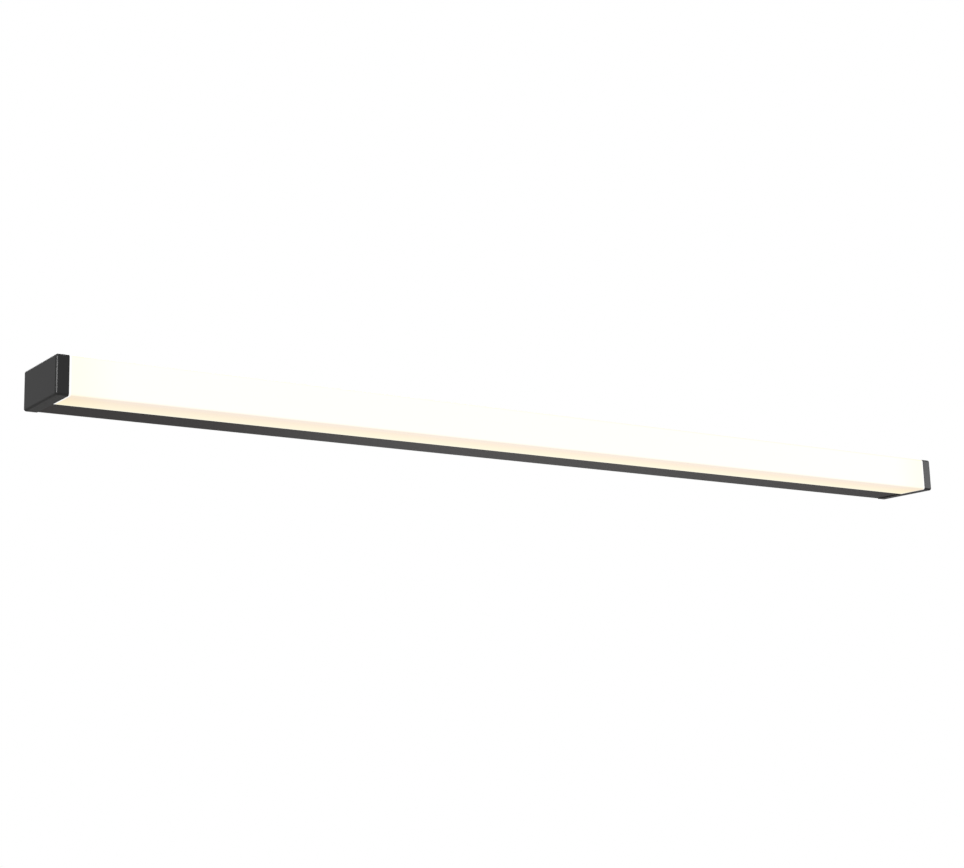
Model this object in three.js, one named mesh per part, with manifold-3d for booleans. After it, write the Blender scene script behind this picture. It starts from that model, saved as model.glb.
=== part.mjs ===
// A 1.2 m wall light bar: a black aluminium channel with a lit opal cover and two moulded end caps.
// The body hangs on a steel bracket and is held there by two clamp screws in its top edge.
//
// Millimetres. +X runs along the bar to the right, -Y points out of the wall towards the room and +Z up.
// The origin is the middle of the bracket's back, where it meets the wall.

import * as THREE from "three";
import { mergeVertices } from "three/addons/utils/BufferGeometryUtils.js";
import Module from "manifold-3d";

const wasm = await Module();
wasm.setup();

// ---------------------------------------------------------------- driving dimensions

// Overall size
const length = 1200;
const height = 40;
const depth = 84;

// Clearances
const gap = 0.3; // between pieces that rest on each other
const screwClearance = 0.3; // round a screw's shank
const wallClearance = 0.4; // the body stops short of the wall, so that only the bracket bears on it

// End caps
const capWidth = 13.3;
const capFillet = 2.5; // rounding round the outer face
const capCorner = 2.6; // corners of the outline
const capFace = 3; // thickness of the outer face
const capRim = 4.6; // width of the rim that meets the body
const capJoint = 0.4; // between the rim and the ends of the body
const gasketInset = 1.5;
const gasketWidth = 1.8;
const gasketThickness = 1.5;
const tongueLength = 26; // the cap's fixing tongue inside the body
const tongueThickness = 3;
const tongueSideGap = 1.95;
const ribThickness = 2;
const ribDepth = 18;

// Housing, an extruded channel
const housingDepth = 43; // from the wall to the joint with the cover
const housingRecess = 1.15; // below the cap's outline
const flangeThickness = 2.4;
const webThickness = 2;
const webSetback = 5; // from the flange's front edge to the web
const hookGrooveDepth = 1;

// Diffuser, an extruded opal cover that snaps into the housing
const diffuserRecess = 0.4; // below the outline of the caps
const diffuserWall = 2;
const diffuserCorner = 2.5;
const diffuserInnerCorner = 0.8;
const hookThickness = 1.6;
const hookBarb = 0.7;
const hookBarbLength = 1.6;

// Wall bracket, bent from steel strip
const bracketThickness = 1.5;
const bracketFlange = 7;
const bracketEndMargin = 50; // from the end of the bar
const bracketSideGap = 3.2; // to the housing's flanges
const lugEndMargin = 150;
const lugWidth = 22;
const lugDepth = 18;
const lugThickness = 2.5;
const lugClearance = 0.5; // under the housing's flange
const wallSlotWidth = 5.2;
const wallSlotLength = 14;
const outerSlotMargin = 100;
const innerSlotMargin = 300;

// Screws that hold pieces to the housing's web
const largeScrew = { shank: 2, head: 3.5, headHeight: 2.4 }; // M4, for the end caps and the earth
const smallScrew = { shank: 1.75, head: 3.3, headHeight: 2.2 }; // 3.5 mm, for the driver and terminal block
const boardScrew = { shank: 1.5, head: 2.75, headHeight: 1.7 }; // M3
const capScrewInset = 12; // from the tip of the cap's tongue
const capScrewEdge = 7.5; // from the tongue's edges

// Clamp screws, M4 with a low head
const clampScrew = { shank: 2, head: 3.9, headHeight: 1.85 };
const clampLength = 9;
const clampSetback = 9; // from the wall to the screw
const clampPocketDepth = 1.1;

// Light engine
const boardCount = 4;
const boardHalfHeight = 10;
const boardThickness = 1.6;
const boardEndMargin = 20.7;
const centreGap = 4; // between the two middle boards
const feedGap = 16; // between a middle and an outer board
const ledPitch = 14;
const ledLength = 3.5;
const ledHeight = 2.8;
const ledThickness = 0.7;
const boardScrewInset = 30;
const boardScrewDrop = 6;
const linkOverlap = 8;
const linkRise = [3, 9];
const linkThickness = 4;
const linkWaist = 1.5;
const feedConnectorLength = 10;
const feedConnectorDrop = [2.5, 9.5];
const feedConnectorThickness = 6;

// Driver
const driverLength = 200;
const driverDepth = 20.8;
const driverSideGap = 1.45;
const driverWall = 1.8;
const driverEar = 10;
const driverFeedDistance = 30; // from the driver's case to the hole in the web

// Mains terminal block
const terminalLength = 24;
const terminalDepth = 15;
const terminalSideGap = 2.5;
const terminalWall = 0.9; // round each pole
const terminalFoot = 9;
const terminalFootThickness = 3;
const terminalDriverDistance = 94;
const poleScrew = 1.8;
const poleScrewDepth = 1.5; // below the block's face

// Leads
const mainsLead = 1.3;
const dcLead = 0.9;
const dcLeadPitch = 2.8;
const entryClearance = 0.4;
const clampBoreClearance = 0.6; // round a lead in its brass clamp

// Earth connection
const earthDistance = 60; // from the terminal block to the earth screw
const ringRadius = 4.2;
const ringThickness = 0.8;
const barrelClearance = 0.3; // round the lead
const barrelWall = 0.4;
const barrelLength = 7;

// Bushings
const bushingBore = 4.5;
const bushingNeck = 7.7;
const bushingFlange = 10;
const bushingFlangeThickness = 1.5;
const bushingDistance = 46; // from the terminal block to the cable entry
const feedBore = 3.1;
const feedNeck = 4.2;
const feedFlange = 6;

// ---------------------------------------------------------------- planes and stations

const halfLength = length / 2;
const halfHeight = height / 2;
const bodyBack = -wallClearance;
const capInner = halfLength - capWidth;
const bodyEnd = capInner - capJoint;

const flangeOuter = halfHeight - housingRecess;
const flangeInner = flangeOuter - flangeThickness;
const webFront = -(housingDepth - webSetback);
const webBack = webFront + webThickness;
const fixingPlane = webBack + gap; // where pieces rest on the web's back

const diffuserFront = -(depth - diffuserRecess);
const diffuserOuter = halfHeight - diffuserRecess;
const shoulder = -housingDepth - gap;
const hookOuter = flangeInner - gap;
const hookInner = hookOuter - hookThickness;
const hookBack = webFront - 1;

const boardBack = webFront - gap;
const boardFront = boardBack - boardThickness;
const boardSpan = 2 * (capInner - boardEndMargin);
const boardLength = (boardSpan - centreGap - 2 * feedGap) / boardCount;
const feedX = centreGap / 2 + boardLength + feedGap / 2;
const innerBoardX = (centreGap + boardLength) / 2;
const outerBoardX = feedX + (feedGap + boardLength) / 2;
const boardCentres = [-outerBoardX, -innerBoardX, innerBoardX, outerBoardX];
const mountedFront = boardFront - gap; // where pieces rest on a board

const driverRight = feedX - driverFeedDistance;
const driverLeft = driverRight - driverLength;
const driverHalfHeight = flangeInner - driverSideGap;
const driverFloor = fixingPlane + driverWall;
const leadPlane = fixingPlane + 8.7; // depth of the driver's terminals

const terminalRight = driverLeft - terminalDriverDistance;
const terminalLeft = terminalRight - terminalLength;
const terminalHalfHeight = flangeInner - terminalSideGap;
const terminalBore = mainsLead + clampBoreClearance;
const polePitch = (2 * terminalHalfHeight) / 3;
const poleHalf = polePitch / 2 - terminalWall - gap;
const polePlane = fixingPlane + terminalDepth / 2;
const earthX = terminalRight + earthDistance;
const cableX = terminalLeft - bushingDistance;

const bracketHalfLength = halfLength - bracketEndMargin;
const bracketHalfHeight = flangeInner - bracketSideGap;
const lugX = halfLength - lugEndMargin;
const lugOuter = flangeInner - lugClearance;

// ---------------------------------------------------------------- solids

function solid(geometry) {
  geometry.deleteAttribute("normal");
  geometry.deleteAttribute("uv");
  const merged = mergeVertices(geometry, 1e-4);
  const vertProperties = merged.attributes.position.array;
  const triVerts = new Uint32Array(merged.index.array);
  return new wasm.Manifold(new wasm.Mesh({ numProp: 3, vertProperties, triVerts }));
}

// A rectangular block between two corners, given in any order.
function block(x, y, z) {
  const low = new THREE.Vector3(Math.min(...x), Math.min(...y), Math.min(...z));
  const high = new THREE.Vector3(Math.max(...x), Math.max(...y), Math.max(...z));
  const size = high.clone().sub(low);
  const centre = high.clone().add(low).multiplyScalar(0.5);
  return solid(new THREE.BoxGeometry(size.x, size.y, size.z).translate(centre.x, centre.y, centre.z));
}

// A straight round bar, or one with flats where few sides are asked for.
function rod(start, end, radius, sides = 20) {
  const from = new THREE.Vector3(...start);
  const along = new THREE.Vector3(...end).sub(from);
  const geometry = new THREE.CylinderGeometry(radius, radius, along.length(), sides);
  const turn = new THREE.Quaternion().setFromUnitVectors(
    new THREE.Vector3(0, 1, 0),
    along.clone().normalize(),
  );
  const centre = from.addScaledVector(along, 0.5);
  return solid(geometry.applyQuaternion(turn).translate(centre.x, centre.y, centre.z));
}

// A profile drawn in (y, z) and drawn out along X, with rounded ends where asked for.
function profileAlongX(shape, x, fillet = 0) {
  const geometry = new THREE.ExtrudeGeometry(shape, {
    depth: Math.abs(x[1] - x[0]) - 2 * fillet,
    curveSegments: 4,
    bevelEnabled: fillet > 0,
    bevelThickness: fillet,
    bevelSize: fillet,
    bevelOffset: -fillet,
    bevelSegments: 4,
  });
  const turn = new THREE.Matrix4().makeBasis(
    new THREE.Vector3(0, 1, 0),
    new THREE.Vector3(0, 0, 1),
    new THREE.Vector3(1, 0, 0),
  );
  return solid(geometry.applyMatrix4(turn).translate(Math.min(...x) + fillet, 0, 0));
}

// A profile drawn in (x, y) and drawn up along Z.
function profileAlongZ(points, z) {
  const shape = new THREE.Shape(points.map(([x, y]) => new THREE.Vector2(x, y)));
  const geometry = new THREE.ExtrudeGeometry(shape, { depth: z[1] - z[0], bevelEnabled: false });
  return solid(geometry.translate(0, 0, z[0]));
}

// The cap's outline in (y, z), moved inwards by an inset.
function capOutline(inset, corner, path = new THREE.Shape()) {
  const back = bodyBack - inset;
  const front = -depth + inset;
  const top = halfHeight - inset;
  path.moveTo(back - corner, -top);
  path.absarc(back - corner, -top + corner, corner, -Math.PI / 2, 0, false);
  path.absarc(back - corner, top - corner, corner, 0, Math.PI / 2, false);
  path.absarc(front + corner, top - corner, corner, Math.PI / 2, Math.PI, false);
  path.absarc(front + corner, -top + corner, corner, Math.PI, 1.5 * Math.PI, false);
  path.closePath();
  return path;
}

// A ring of the cap's outline, from one inset to another.
function capRing(x, outerInset, innerInset) {
  const shape = capOutline(outerInset, 1.2);
  shape.holes.push(capOutline(innerInset, 0.6, new THREE.Path()));
  return profileAlongX(shape, x);
}

// A lead with its centre line through the points given.
function lead(points, radius, steps) {
  const path = new THREE.CatmullRomCurve3(
    points.map((point) => new THREE.Vector3(...point)),
    false,
    "centripetal",
  );
  const section = new THREE.Shape();
  section.absarc(0, 0, radius, 0, 2 * Math.PI, false);
  return solid(
    new THREE.ExtrudeGeometry(section, { extrudePath: path, steps, curveSegments: 4, bevelEnabled: false }),
  );
}

// A screw with a round head and a hexagon socket. The seat is under the head.
function screw(size, seat, direction, shankLength) {
  const origin = new THREE.Vector3(...seat);
  const along = new THREE.Vector3(...direction);
  const at = (distance) => origin.clone().addScaledVector(along, distance).toArray();
  const socketDepth = 0.6 * size.headHeight;
  const socket = rod(at(-size.headHeight - 1), at(socketDepth - size.headHeight), 0.42 * size.head, 6);
  return rod(at(-size.headHeight), at(0), size.head, 16)
    .add(rod(at(-size.headHeight / 2), at(shankLength), size.shank, 16))
    .subtract(socket);
}

// ---------------------------------------------------------------- nodes

const lightBar = new THREE.Group();

const finishes = {
  black_cap: { color: 0x444444, roughness: 0.42, metalness: 0 },
  black_coat: { color: 0x3b3838, roughness: 0.5, metalness: 0.1 },
  opal: { color: 0xfffbee, roughness: 0.35, metalness: 0, emissive: 0xfff4e0, emissiveIntensity: 0.9 },
  zinc: { color: 0xb4b8ba, roughness: 0.38, metalness: 1 },
  steel: { color: 0x9a9c9e, roughness: 0.3, metalness: 1 },
  blackened: { color: 0x2c2c2e, roughness: 0.4, metalness: 0.8 },
  brass: { color: 0xc8a24a, roughness: 0.3, metalness: 1 },
  rubber: { color: 0x1c1c1c, roughness: 0.85, metalness: 0 },
  white_board: { color: 0xf4f4ee, roughness: 0.45, metalness: 0 },
  white_plastic: { color: 0xf0efea, roughness: 0.4, metalness: 0 },
  circuit_board: { color: 0x2c5a3a, roughness: 0.5, metalness: 0 },
  brown_lead: { color: 0x5a3420, roughness: 0.45, metalness: 0 },
  blue_lead: { color: 0x2458a6, roughness: 0.45, metalness: 0 },
  earth_lead: { color: 0x6f9a2c, roughness: 0.45, metalness: 0 },
  red_lead: { color: 0xb02a24, roughness: 0.45, metalness: 0 },
  black_lead: { color: 0x202020, roughness: 0.45, metalness: 0 },
};

function piece(name, shape, finish) {
  const made = shape.getMesh();
  const indexed = new THREE.BufferGeometry();
  indexed.setAttribute("position", new THREE.BufferAttribute(made.vertProperties, 3));
  indexed.setIndex(new THREE.BufferAttribute(made.triVerts, 1));
  const geometry = indexed.toNonIndexed();
  geometry.computeVertexNormals();
  const mesh = new THREE.Mesh(geometry, new THREE.MeshStandardMaterial(finishes[finish]));
  mesh.name = name;
  lightBar.add(mesh);
}

const sideName = (side) => (side < 0 ? "left" : "right");
const sides = [-1, 1];

// ---------------------------------------------------------------- wall bracket and clamp screws

function lug(x, top) {
  const thickness = Math.sign(top) * lugThickness;
  const width = [x - lugWidth / 2, x + lugWidth / 2];
  const upright = block(width, [-bracketThickness, 0], [0, top]);
  return upright.add(block(width, [-lugDepth, 0], [top - thickness, top]));
}

function wallSlot(x) {
  const reach = (wallSlotLength - wallSlotWidth) / 2;
  const ends = [x - reach, x + reach];
  const straight = block(ends, [-bracketThickness - 1, 1], [-wallSlotWidth / 2, wallSlotWidth / 2]);
  return ends.reduce(
    (slot, end) => slot.add(rod([end, -bracketThickness - 1, 0], [end, 1, 0], wallSlotWidth / 2, 16)),
    straight,
  );
}

function wallBracket() {
  const along = [-bracketHalfLength, bracketHalfLength];
  let bracket = block(along, [-bracketThickness, 0], [-bracketHalfHeight, bracketHalfHeight]);
  for (const side of sides) {
    const edge = side * bracketHalfHeight;
    bracket = bracket.add(block(along, [-bracketFlange, 0], [edge, edge - side * bracketThickness]));
  }
  for (const x of [-lugX, lugX]) {
    const relief = [x - lugWidth / 2 - 2, x + lugWidth / 2 + 2];
    const beyond = bracketHalfHeight + 1;
    bracket = bracket.subtract(block(relief, [-bracketFlange - 1, -bracketThickness], [-beyond, beyond]));
    bracket = bracket.add(lug(x, lugOuter)).add(lug(x, -lugOuter));
    const thread = [x, -clampSetback];
    const threadRadius = clampScrew.shank + screwClearance;
    const threadEnds = [lugOuter - lugThickness - 1, lugOuter + 1];
    bracket = bracket.subtract(rod([...thread, threadEnds[0]], [...thread, threadEnds[1]], threadRadius));
  }
  for (const margin of [outerSlotMargin, innerSlotMargin]) {
    for (const side of sides) bracket = bracket.subtract(wallSlot(side * (halfLength - margin)));
  }
  const entry = rod([cableX, -bracketThickness - 1, 0], [cableX, 1, 0], bushingNeck + gap, 24);
  const roomEnd = [cableX, -bracketThickness, 0];
  const room = rod([cableX, -bracketFlange - 1, 0], roomEnd, bushingFlange + gap, 24);
  return bracket.subtract(entry).subtract(room);
}

function cableBushing() {
  const front = -bracketThickness - gap;
  const flange = rod([cableX, front - bushingFlangeThickness, 0], [cableX, front, 0], bushingFlange, 24);
  const neck = rod([cableX, front - 1, 0], [cableX, -gap, 0], bushingNeck, 24);
  return flange.add(neck).subtract(rod([cableX, -10, 0], [cableX, 1, 0], bushingBore, 24));
}

const clampSeat = flangeOuter - clampPocketDepth + gap;

piece("wall_bracket", wallBracket(), "zinc");
piece("cable_entry_bushing", cableBushing(), "rubber");
for (const side of sides) {
  const seat = [side * lugX, -clampSetback, clampSeat];
  piece(`clamp_screw_${sideName(side)}`, screw(clampScrew, seat, [0, 0, -1], clampLength), "blackened");
}

// ---------------------------------------------------------------- housing

const capScrewX = capInner - tongueLength + capScrewInset;
const capScrewRise = flangeInner - tongueSideGap - capScrewEdge;
const driverScrewXs = [driverLeft - driverEar / 2, driverRight + driverEar / 2];
const terminalScrewX = terminalLeft - terminalFoot / 2;
const feedHoleZ = -(feedConnectorDrop[0] + feedConnectorDrop[1]) / 2;
const fixingScrewTip = webFront + gap; // screws from the back stop inside the web

function housingProfile() {
  const grooveFront = hookBack - hookBarbLength - 2 * gap;
  const grooveBack = hookBack + gap;
  const grooveFloor = flangeInner + hookGrooveDepth;
  const upper = [
    [bodyBack, flangeInner],
    [bodyBack, flangeOuter],
    [-housingDepth, flangeOuter],
    [-housingDepth, flangeInner],
    [grooveFront, flangeInner],
    [grooveFront, grooveFloor],
    [grooveBack, grooveFloor],
    [grooveBack, flangeInner],
    [webFront, flangeInner],
  ];
  const lower = upper.map(([y, z]) => [y, -z]).reverse();
  const outline = [...upper, ...lower, [webBack, -flangeInner], [webBack, flangeInner]];
  // The lower half ends at the flange's inner back corner, so the web's back closes the outline.
  return new THREE.Shape(outline.map(([y, z]) => new THREE.Vector2(y, z)));
}

function webHole(x, z, radius) {
  return rod([x, webBack + 1, z], [x, webFront - 1, z], radius + screwClearance, 16);
}

function clampNotch(x) {
  const shank = clampScrew.shank + screwClearance;
  const pocket = clampScrew.head + gap;
  const pocketFloor = flangeOuter - clampPocketDepth;
  const throat = block([x - shank, x + shank], [1, -clampSetback], [flangeInner - 1, flangeOuter + 1]);
  const throatEnd = rod([x, -clampSetback, flangeInner - 1], [x, -clampSetback, flangeOuter + 1], shank);
  const recess = block([x - pocket, x + pocket], [1, -clampSetback], [pocketFloor, flangeOuter + 1]);
  const recessEnd = rod([x, -clampSetback, pocketFloor], [x, -clampSetback, flangeOuter + 1], pocket);
  return throat.add(throatEnd).add(recess).add(recessEnd);
}

function boardScrewXs() {
  const reach = boardLength / 2 - boardScrewInset;
  return boardCentres.flatMap((centre) => [centre - reach, centre + reach]);
}

function housing() {
  let channel = profileAlongX(housingProfile(), [-bodyEnd, bodyEnd]);
  const cut = (tool) => {
    channel = channel.subtract(tool);
  };
  for (const side of sides) {
    cut(clampNotch(side * lugX));
    for (const z of [-capScrewRise, capScrewRise]) cut(webHole(side * capScrewX, z, largeScrew.shank));
  }
  for (const x of boardScrewXs()) cut(webHole(x, -boardScrewDrop, boardScrew.shank));
  for (const x of [...driverScrewXs, terminalScrewX]) cut(webHole(x, 0, smallScrew.shank));
  cut(webHole(earthX, -polePitch, largeScrew.shank));
  cut(webHole(feedX, feedHoleZ, feedNeck));
  return channel;
}

piece("housing", housing(), "black_coat");

// ---------------------------------------------------------------- diffuser

function diffuserProfile() {
  const shape = new THREE.Shape();
  const inner = diffuserOuter - diffuserWall;
  const innerFront = diffuserFront + diffuserWall;
  const legFront = shoulder - diffuserWall;
  const barbFront = hookBack - hookBarbLength;
  const hook = [
    [shoulder, diffuserOuter],
    [shoulder, hookOuter],
    [barbFront, hookOuter],
    [barbFront, hookOuter + hookBarb],
    [hookBack - hookBarbLength / 2, hookOuter + hookBarb],
    [hookBack, hookOuter],
    [hookBack, hookInner],
    [legFront, hookInner],
    [legFront, inner],
  ];
  shape.moveTo(...hook[0]);
  for (const point of hook.slice(1)) shape.lineTo(...point);
  const bend = diffuserInnerCorner;
  shape.absarc(innerFront + bend, inner - bend, bend, Math.PI / 2, Math.PI, false);
  shape.absarc(innerFront + bend, -inner + bend, bend, Math.PI, 1.5 * Math.PI, false);
  for (const [y, z] of [...hook].reverse()) shape.lineTo(y, -z);
  const round = diffuserCorner;
  shape.absarc(diffuserFront + round, -diffuserOuter + round, round, 1.5 * Math.PI, Math.PI, true);
  shape.absarc(diffuserFront + round, diffuserOuter - round, round, Math.PI, Math.PI / 2, true);
  shape.closePath();
  return shape;
}

piece("diffuser", profileAlongX(diffuserProfile(), [-bodyEnd, bodyEnd]), "opal");

// ---------------------------------------------------------------- end caps

const gasketInner = capInner - capJoint / 4; // the gasket's face, just short of the body's end

function capRib(side, z) {
  const tongueFront = fixingPlane + tongueThickness;
  const points = [
    [side * (capInner - tongueLength + 6), tongueFront - 0.5],
    [side * (capInner + capRim), tongueFront - 0.5],
    [side * (capInner + capRim), tongueFront + ribDepth],
    [side * capInner, tongueFront + ribDepth],
  ];
  return profileAlongZ(points, [z - ribThickness / 2, z + ribThickness / 2]);
}

function endCap(side) {
  const outer = side * halfLength;
  const inner = side * capInner;
  const beyond = side * (capInner - capWidth);
  const blank = profileAlongX(capOutline(0, capCorner), [beyond, outer], capFillet);
  const trim = block([beyond - side, inner], [1, -depth - 1], [-halfHeight - 1, halfHeight + 1]);
  const pocketZ = halfHeight - capRim;
  const pocketX = [inner - side, side * (halfLength - capFace)];
  const pocket = block(pocketX, [bodyBack - capRim, capRim - depth], [-pocketZ, pocketZ]);
  const grooveX = [inner - side, side * (gasketInner + gasketThickness + gap)];
  const groove = capRing(grooveX, gasketInset - gap, gasketInset + gasketWidth + gap);

  const tongueY = [fixingPlane, fixingPlane + tongueThickness];
  const tongueZ = flangeInner - tongueSideGap;
  const root = side * (halfLength - capFace / 2);
  let cap = blank.subtract(trim).subtract(pocket).subtract(groove);
  cap = cap.add(block([side * (capInner - tongueLength), root], tongueY, [-tongueZ, tongueZ]));
  cap = cap.add(block([side * (capInner + capRim), root], tongueY, [-pocketZ - 1, pocketZ + 1]));
  for (const z of [-tongueZ + ribThickness, tongueZ - ribThickness]) cap = cap.add(capRib(side, z));
  for (const z of [-capScrewRise, capScrewRise]) {
    const start = [side * capScrewX, tongueY[0] - 1, z];
    const end = [side * capScrewX, tongueY[1] + 1, z];
    cap = cap.subtract(rod(start, end, largeScrew.shank + screwClearance, 16));
  }
  return cap;
}

for (const side of sides) {
  piece(`end_cap_${sideName(side)}`, endCap(side), "black_cap");
  const gasketX = [side * gasketInner, side * (gasketInner + gasketThickness)];
  const gasket = capRing(gasketX, gasketInset, gasketInset + gasketWidth);
  piece(`end_gasket_${sideName(side)}`, gasket, "rubber");
  for (const [place, z] of [["lower", -capScrewRise], ["upper", capScrewRise]]) {
    const seatY = fixingPlane + tongueThickness + gap;
    const capScrew = screw(largeScrew, [side * capScrewX, seatY, z], [0, -1, 0], seatY - fixingScrewTip);
    piece(`cap_screw_${sideName(side)}_${place}`, capScrew, "steel");
  }
}

// ---------------------------------------------------------------- LED boards

function ledBoard(centre) {
  const half = boardLength / 2;
  const boardY = [boardFront, boardBack];
  let board = block([centre - half, centre + half], boardY, [-boardHalfHeight, boardHalfHeight]);
  const ledCount = Math.floor((boardLength - ledLength) / ledPitch);
  for (let i = 0; i < ledCount; i += 1) {
    const x = centre + (i - (ledCount - 1) / 2) * ledPitch;
    const ledX = [x - ledLength / 2, x + ledLength / 2];
    const ledY = [boardFront - ledThickness, boardFront + 0.5];
    board = board.add(block(ledX, ledY, [-ledHeight / 2, ledHeight / 2]));
  }
  for (const x of boardScrewXs().filter((screwX) => Math.abs(screwX - centre) < half)) {
    const hole = boardScrew.shank + screwClearance;
    const start = [x, boardFront - 1, -boardScrewDrop];
    const end = [x, boardBack + 1, -boardScrewDrop];
    board = board.subtract(rod(start, end, hole, 16));
  }
  return board;
}

function boardLink(x, spacing) {
  const half = spacing / 2 + linkOverlap;
  const back = mountedFront - linkThickness;
  const body = block([x - half, x + half], [mountedFront, back], linkRise);
  const waistX = [x - spacing / 2, x + spacing / 2];
  const waist = block(waistX, [back - 1, back + linkWaist], [linkRise[0] - 1, linkRise[0] + linkWaist]);
  return body.subtract(waist);
}

boardCentres.forEach((centre, i) => piece(`led_board_${i + 1}`, ledBoard(centre), "white_board"));
boardScrewXs().forEach((x, i) => {
  const shank = webBack - gap - mountedFront;
  const shape = screw(boardScrew, [x, mountedFront, -boardScrewDrop], [0, 1, 0], shank);
  piece(`board_screw_${i + 1}`, shape, "steel");
});
const links = [
  [-feedX, feedGap],
  [0, centreGap],
  [feedX, feedGap],
];
links.forEach(([x, spacing], i) => piece(`board_link_${i + 1}`, boardLink(x, spacing), "white_plastic"));

// ---------------------------------------------------------------- DC feed through the web

const dcOffsets = [
  ["plus", dcLeadPitch / 2, "red_lead"],
  ["minus", -dcLeadPitch / 2, "black_lead"],
];
const connectorLeft = feedX + feedGap / 2 + 1;
const connectorPlane = mountedFront - feedConnectorThickness / 2;

function feedConnector() {
  const x = [connectorLeft, connectorLeft + feedConnectorLength];
  const y = [mountedFront, mountedFront - feedConnectorThickness];
  let connector = block(x, y, feedConnectorDrop.map((drop) => -drop));
  for (const [, offset] of dcOffsets) {
    const centre = [connectorPlane, feedHoleZ + offset];
    const bore = rod([x[0] - 1, ...centre], [x[0] + 7, ...centre], dcLead + entryClearance, 12);
    connector = connector.subtract(bore);
  }
  return connector;
}

function feedBushing() {
  const flangeFront = fixingPlane + bushingFlangeThickness;
  const flange = rod([feedX, fixingPlane, feedHoleZ], [feedX, flangeFront, feedHoleZ], feedFlange);
  const neck = rod([feedX, fixingPlane + 1, feedHoleZ], [feedX, webFront, feedHoleZ], feedNeck);
  return flange.add(neck).subtract(rod([feedX, 0, feedHoleZ], [feedX, webFront - 5, feedHoleZ], feedBore));
}

piece("feed_bushing", feedBushing(), "rubber");
piece("feed_connector", feedConnector(), "white_plastic");
for (const [pole, offset, finish] of dcOffsets) {
  const z = feedHoleZ + offset;
  const driverZ = 2.5 * offset;
  const route = [
    [driverRight - driverWall - 3, leadPlane, driverZ],
    [driverRight + 4, leadPlane, driverZ],
    [feedX - 14, leadPlane - 1, (driverZ + z) / 2],
    [feedX - 5, leadPlane - 3, z],
    [feedX, webBack + 2.5, z],
    [feedX, webFront - 1, z],
    [feedX + 2.2, connectorPlane + 1, z],
    [feedX + 6, connectorPlane, z],
    [connectorLeft + 5, connectorPlane, z],
  ];
  piece(`dc_lead_${pole}`, lead(route, dcLead, 30), finish);
}

// ---------------------------------------------------------------- driver

const lidThickness = 1.8;
const lidFront = fixingPlane + driverDepth;
const trayRim = lidFront - lidThickness - gap;
const mainsEntries = [
  ["live", 5],
  ["neutral", -5],
];

function driverTray() {
  const x = [driverLeft, driverRight];
  const z = [-driverHalfHeight, driverHalfHeight];
  const inside = driverHalfHeight - driverWall;
  const hollowX = [driverLeft + driverWall, driverRight - driverWall];
  let tray = block(x, [fixingPlane, trayRim], z);
  tray = tray.subtract(block(hollowX, [driverFloor, trayRim + 1], [-inside, inside]));
  const ears = [driverLeft - driverEar, driverRight + driverEar];
  tray = tray.add(block(ears, [fixingPlane, driverFloor], [-8, 8]));
  for (const earX of driverScrewXs) {
    const hole = smallScrew.shank + screwClearance;
    tray = tray.subtract(rod([earX, fixingPlane - 1, 0], [earX, driverFloor + 1, 0], hole, 16));
  }
  for (const [, z0] of mainsEntries) {
    const bore = mainsLead + entryClearance;
    tray = tray.subtract(rod([driverLeft - 1, leadPlane, z0], [driverLeft + 4, leadPlane, z0], bore, 12));
  }
  for (const [, offset] of dcOffsets) {
    const z0 = 2.5 * offset;
    const bore = dcLead + entryClearance;
    tray = tray.subtract(rod([driverRight - 4, leadPlane, z0], [driverRight + 1, leadPlane, z0], bore, 12));
  }
  return tray;
}

function driverLid() {
  const z = [-driverHalfHeight, driverHalfHeight];
  const plate = block([driverLeft, driverRight], [lidFront - lidThickness, lidFront], z);
  const lipX = [driverLeft + driverWall + gap, driverRight - driverWall - gap];
  const lipZ = driverHalfHeight - driverWall - gap;
  const lip = block(lipX, [trayRim - 3, lidFront - 1], [-lipZ, lipZ]);
  const insideX = [lipX[0] + 1.2, lipX[1] - 1.2];
  const inside = block(insideX, [trayRim - 4, lidFront - lidThickness], [1.2 - lipZ, lipZ - 1.2]);
  return plate.add(lip).subtract(inside);
}

// Line filter, transformer and output choke: blocks on the driver's circuit board, short of its long edges.
const circuitBlocks = [
  { start: 30, long: 14, edge: 6, deep: 8 },
  { start: 95, long: 28, edge: 2, deep: 9.5 },
  { start: 134, long: 12, edge: 6.5, deep: 7 },
];
// Input and output capacitors, which lie along the board.
const circuitCapacitors = [
  { start: 56, long: 28, radius: 5.4, z: 0 },
  { start: 152, long: 20, radius: 4.2, z: 5 },
];

function driverCircuit() {
  const x = [driverLeft + driverWall + gap, driverRight - driverWall - gap];
  const half = driverHalfHeight - driverWall - gap;
  const back = driverFloor + gap;
  const front = back + boardThickness;
  const sunk = front - 0.4; // the parts' bodies run into the board, so that the whole is one solid
  let circuit = block(x, [back, front], [-half, half]);
  for (const part of circuitBlocks) {
    const partX = [driverLeft + part.start, driverLeft + part.start + part.long];
    circuit = circuit.add(block(partX, [sunk, front + part.deep], [part.edge - half, half - part.edge]));
  }
  for (const part of circuitCapacitors) {
    const centre = [sunk + part.radius, part.z];
    const start = driverLeft + part.start;
    circuit = circuit.add(rod([start, ...centre], [start + part.long, ...centre], part.radius, 16));
  }
  return circuit;
}

piece("driver_tray", driverTray(), "white_plastic");
piece("driver_lid", driverLid(), "white_plastic");
piece("driver_circuit_board", driverCircuit(), "circuit_board");
sides.forEach((side, i) => {
  const seatY = driverFloor + gap;
  const shape = screw(smallScrew, [driverScrewXs[i], seatY, 0], [0, -1, 0], seatY - fixingScrewTip);
  piece(`driver_screw_${sideName(side)}`, shape, "steel");
});

// ---------------------------------------------------------------- mains terminal block

const poles = [
  ["live", polePitch],
  ["neutral", 0],
  ["earth", -polePitch],
];
const poleScrewXs = [terminalLeft + terminalLength * 0.27, terminalLeft + terminalLength * 0.73];
const blockFront = fixingPlane + terminalDepth;

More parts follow.
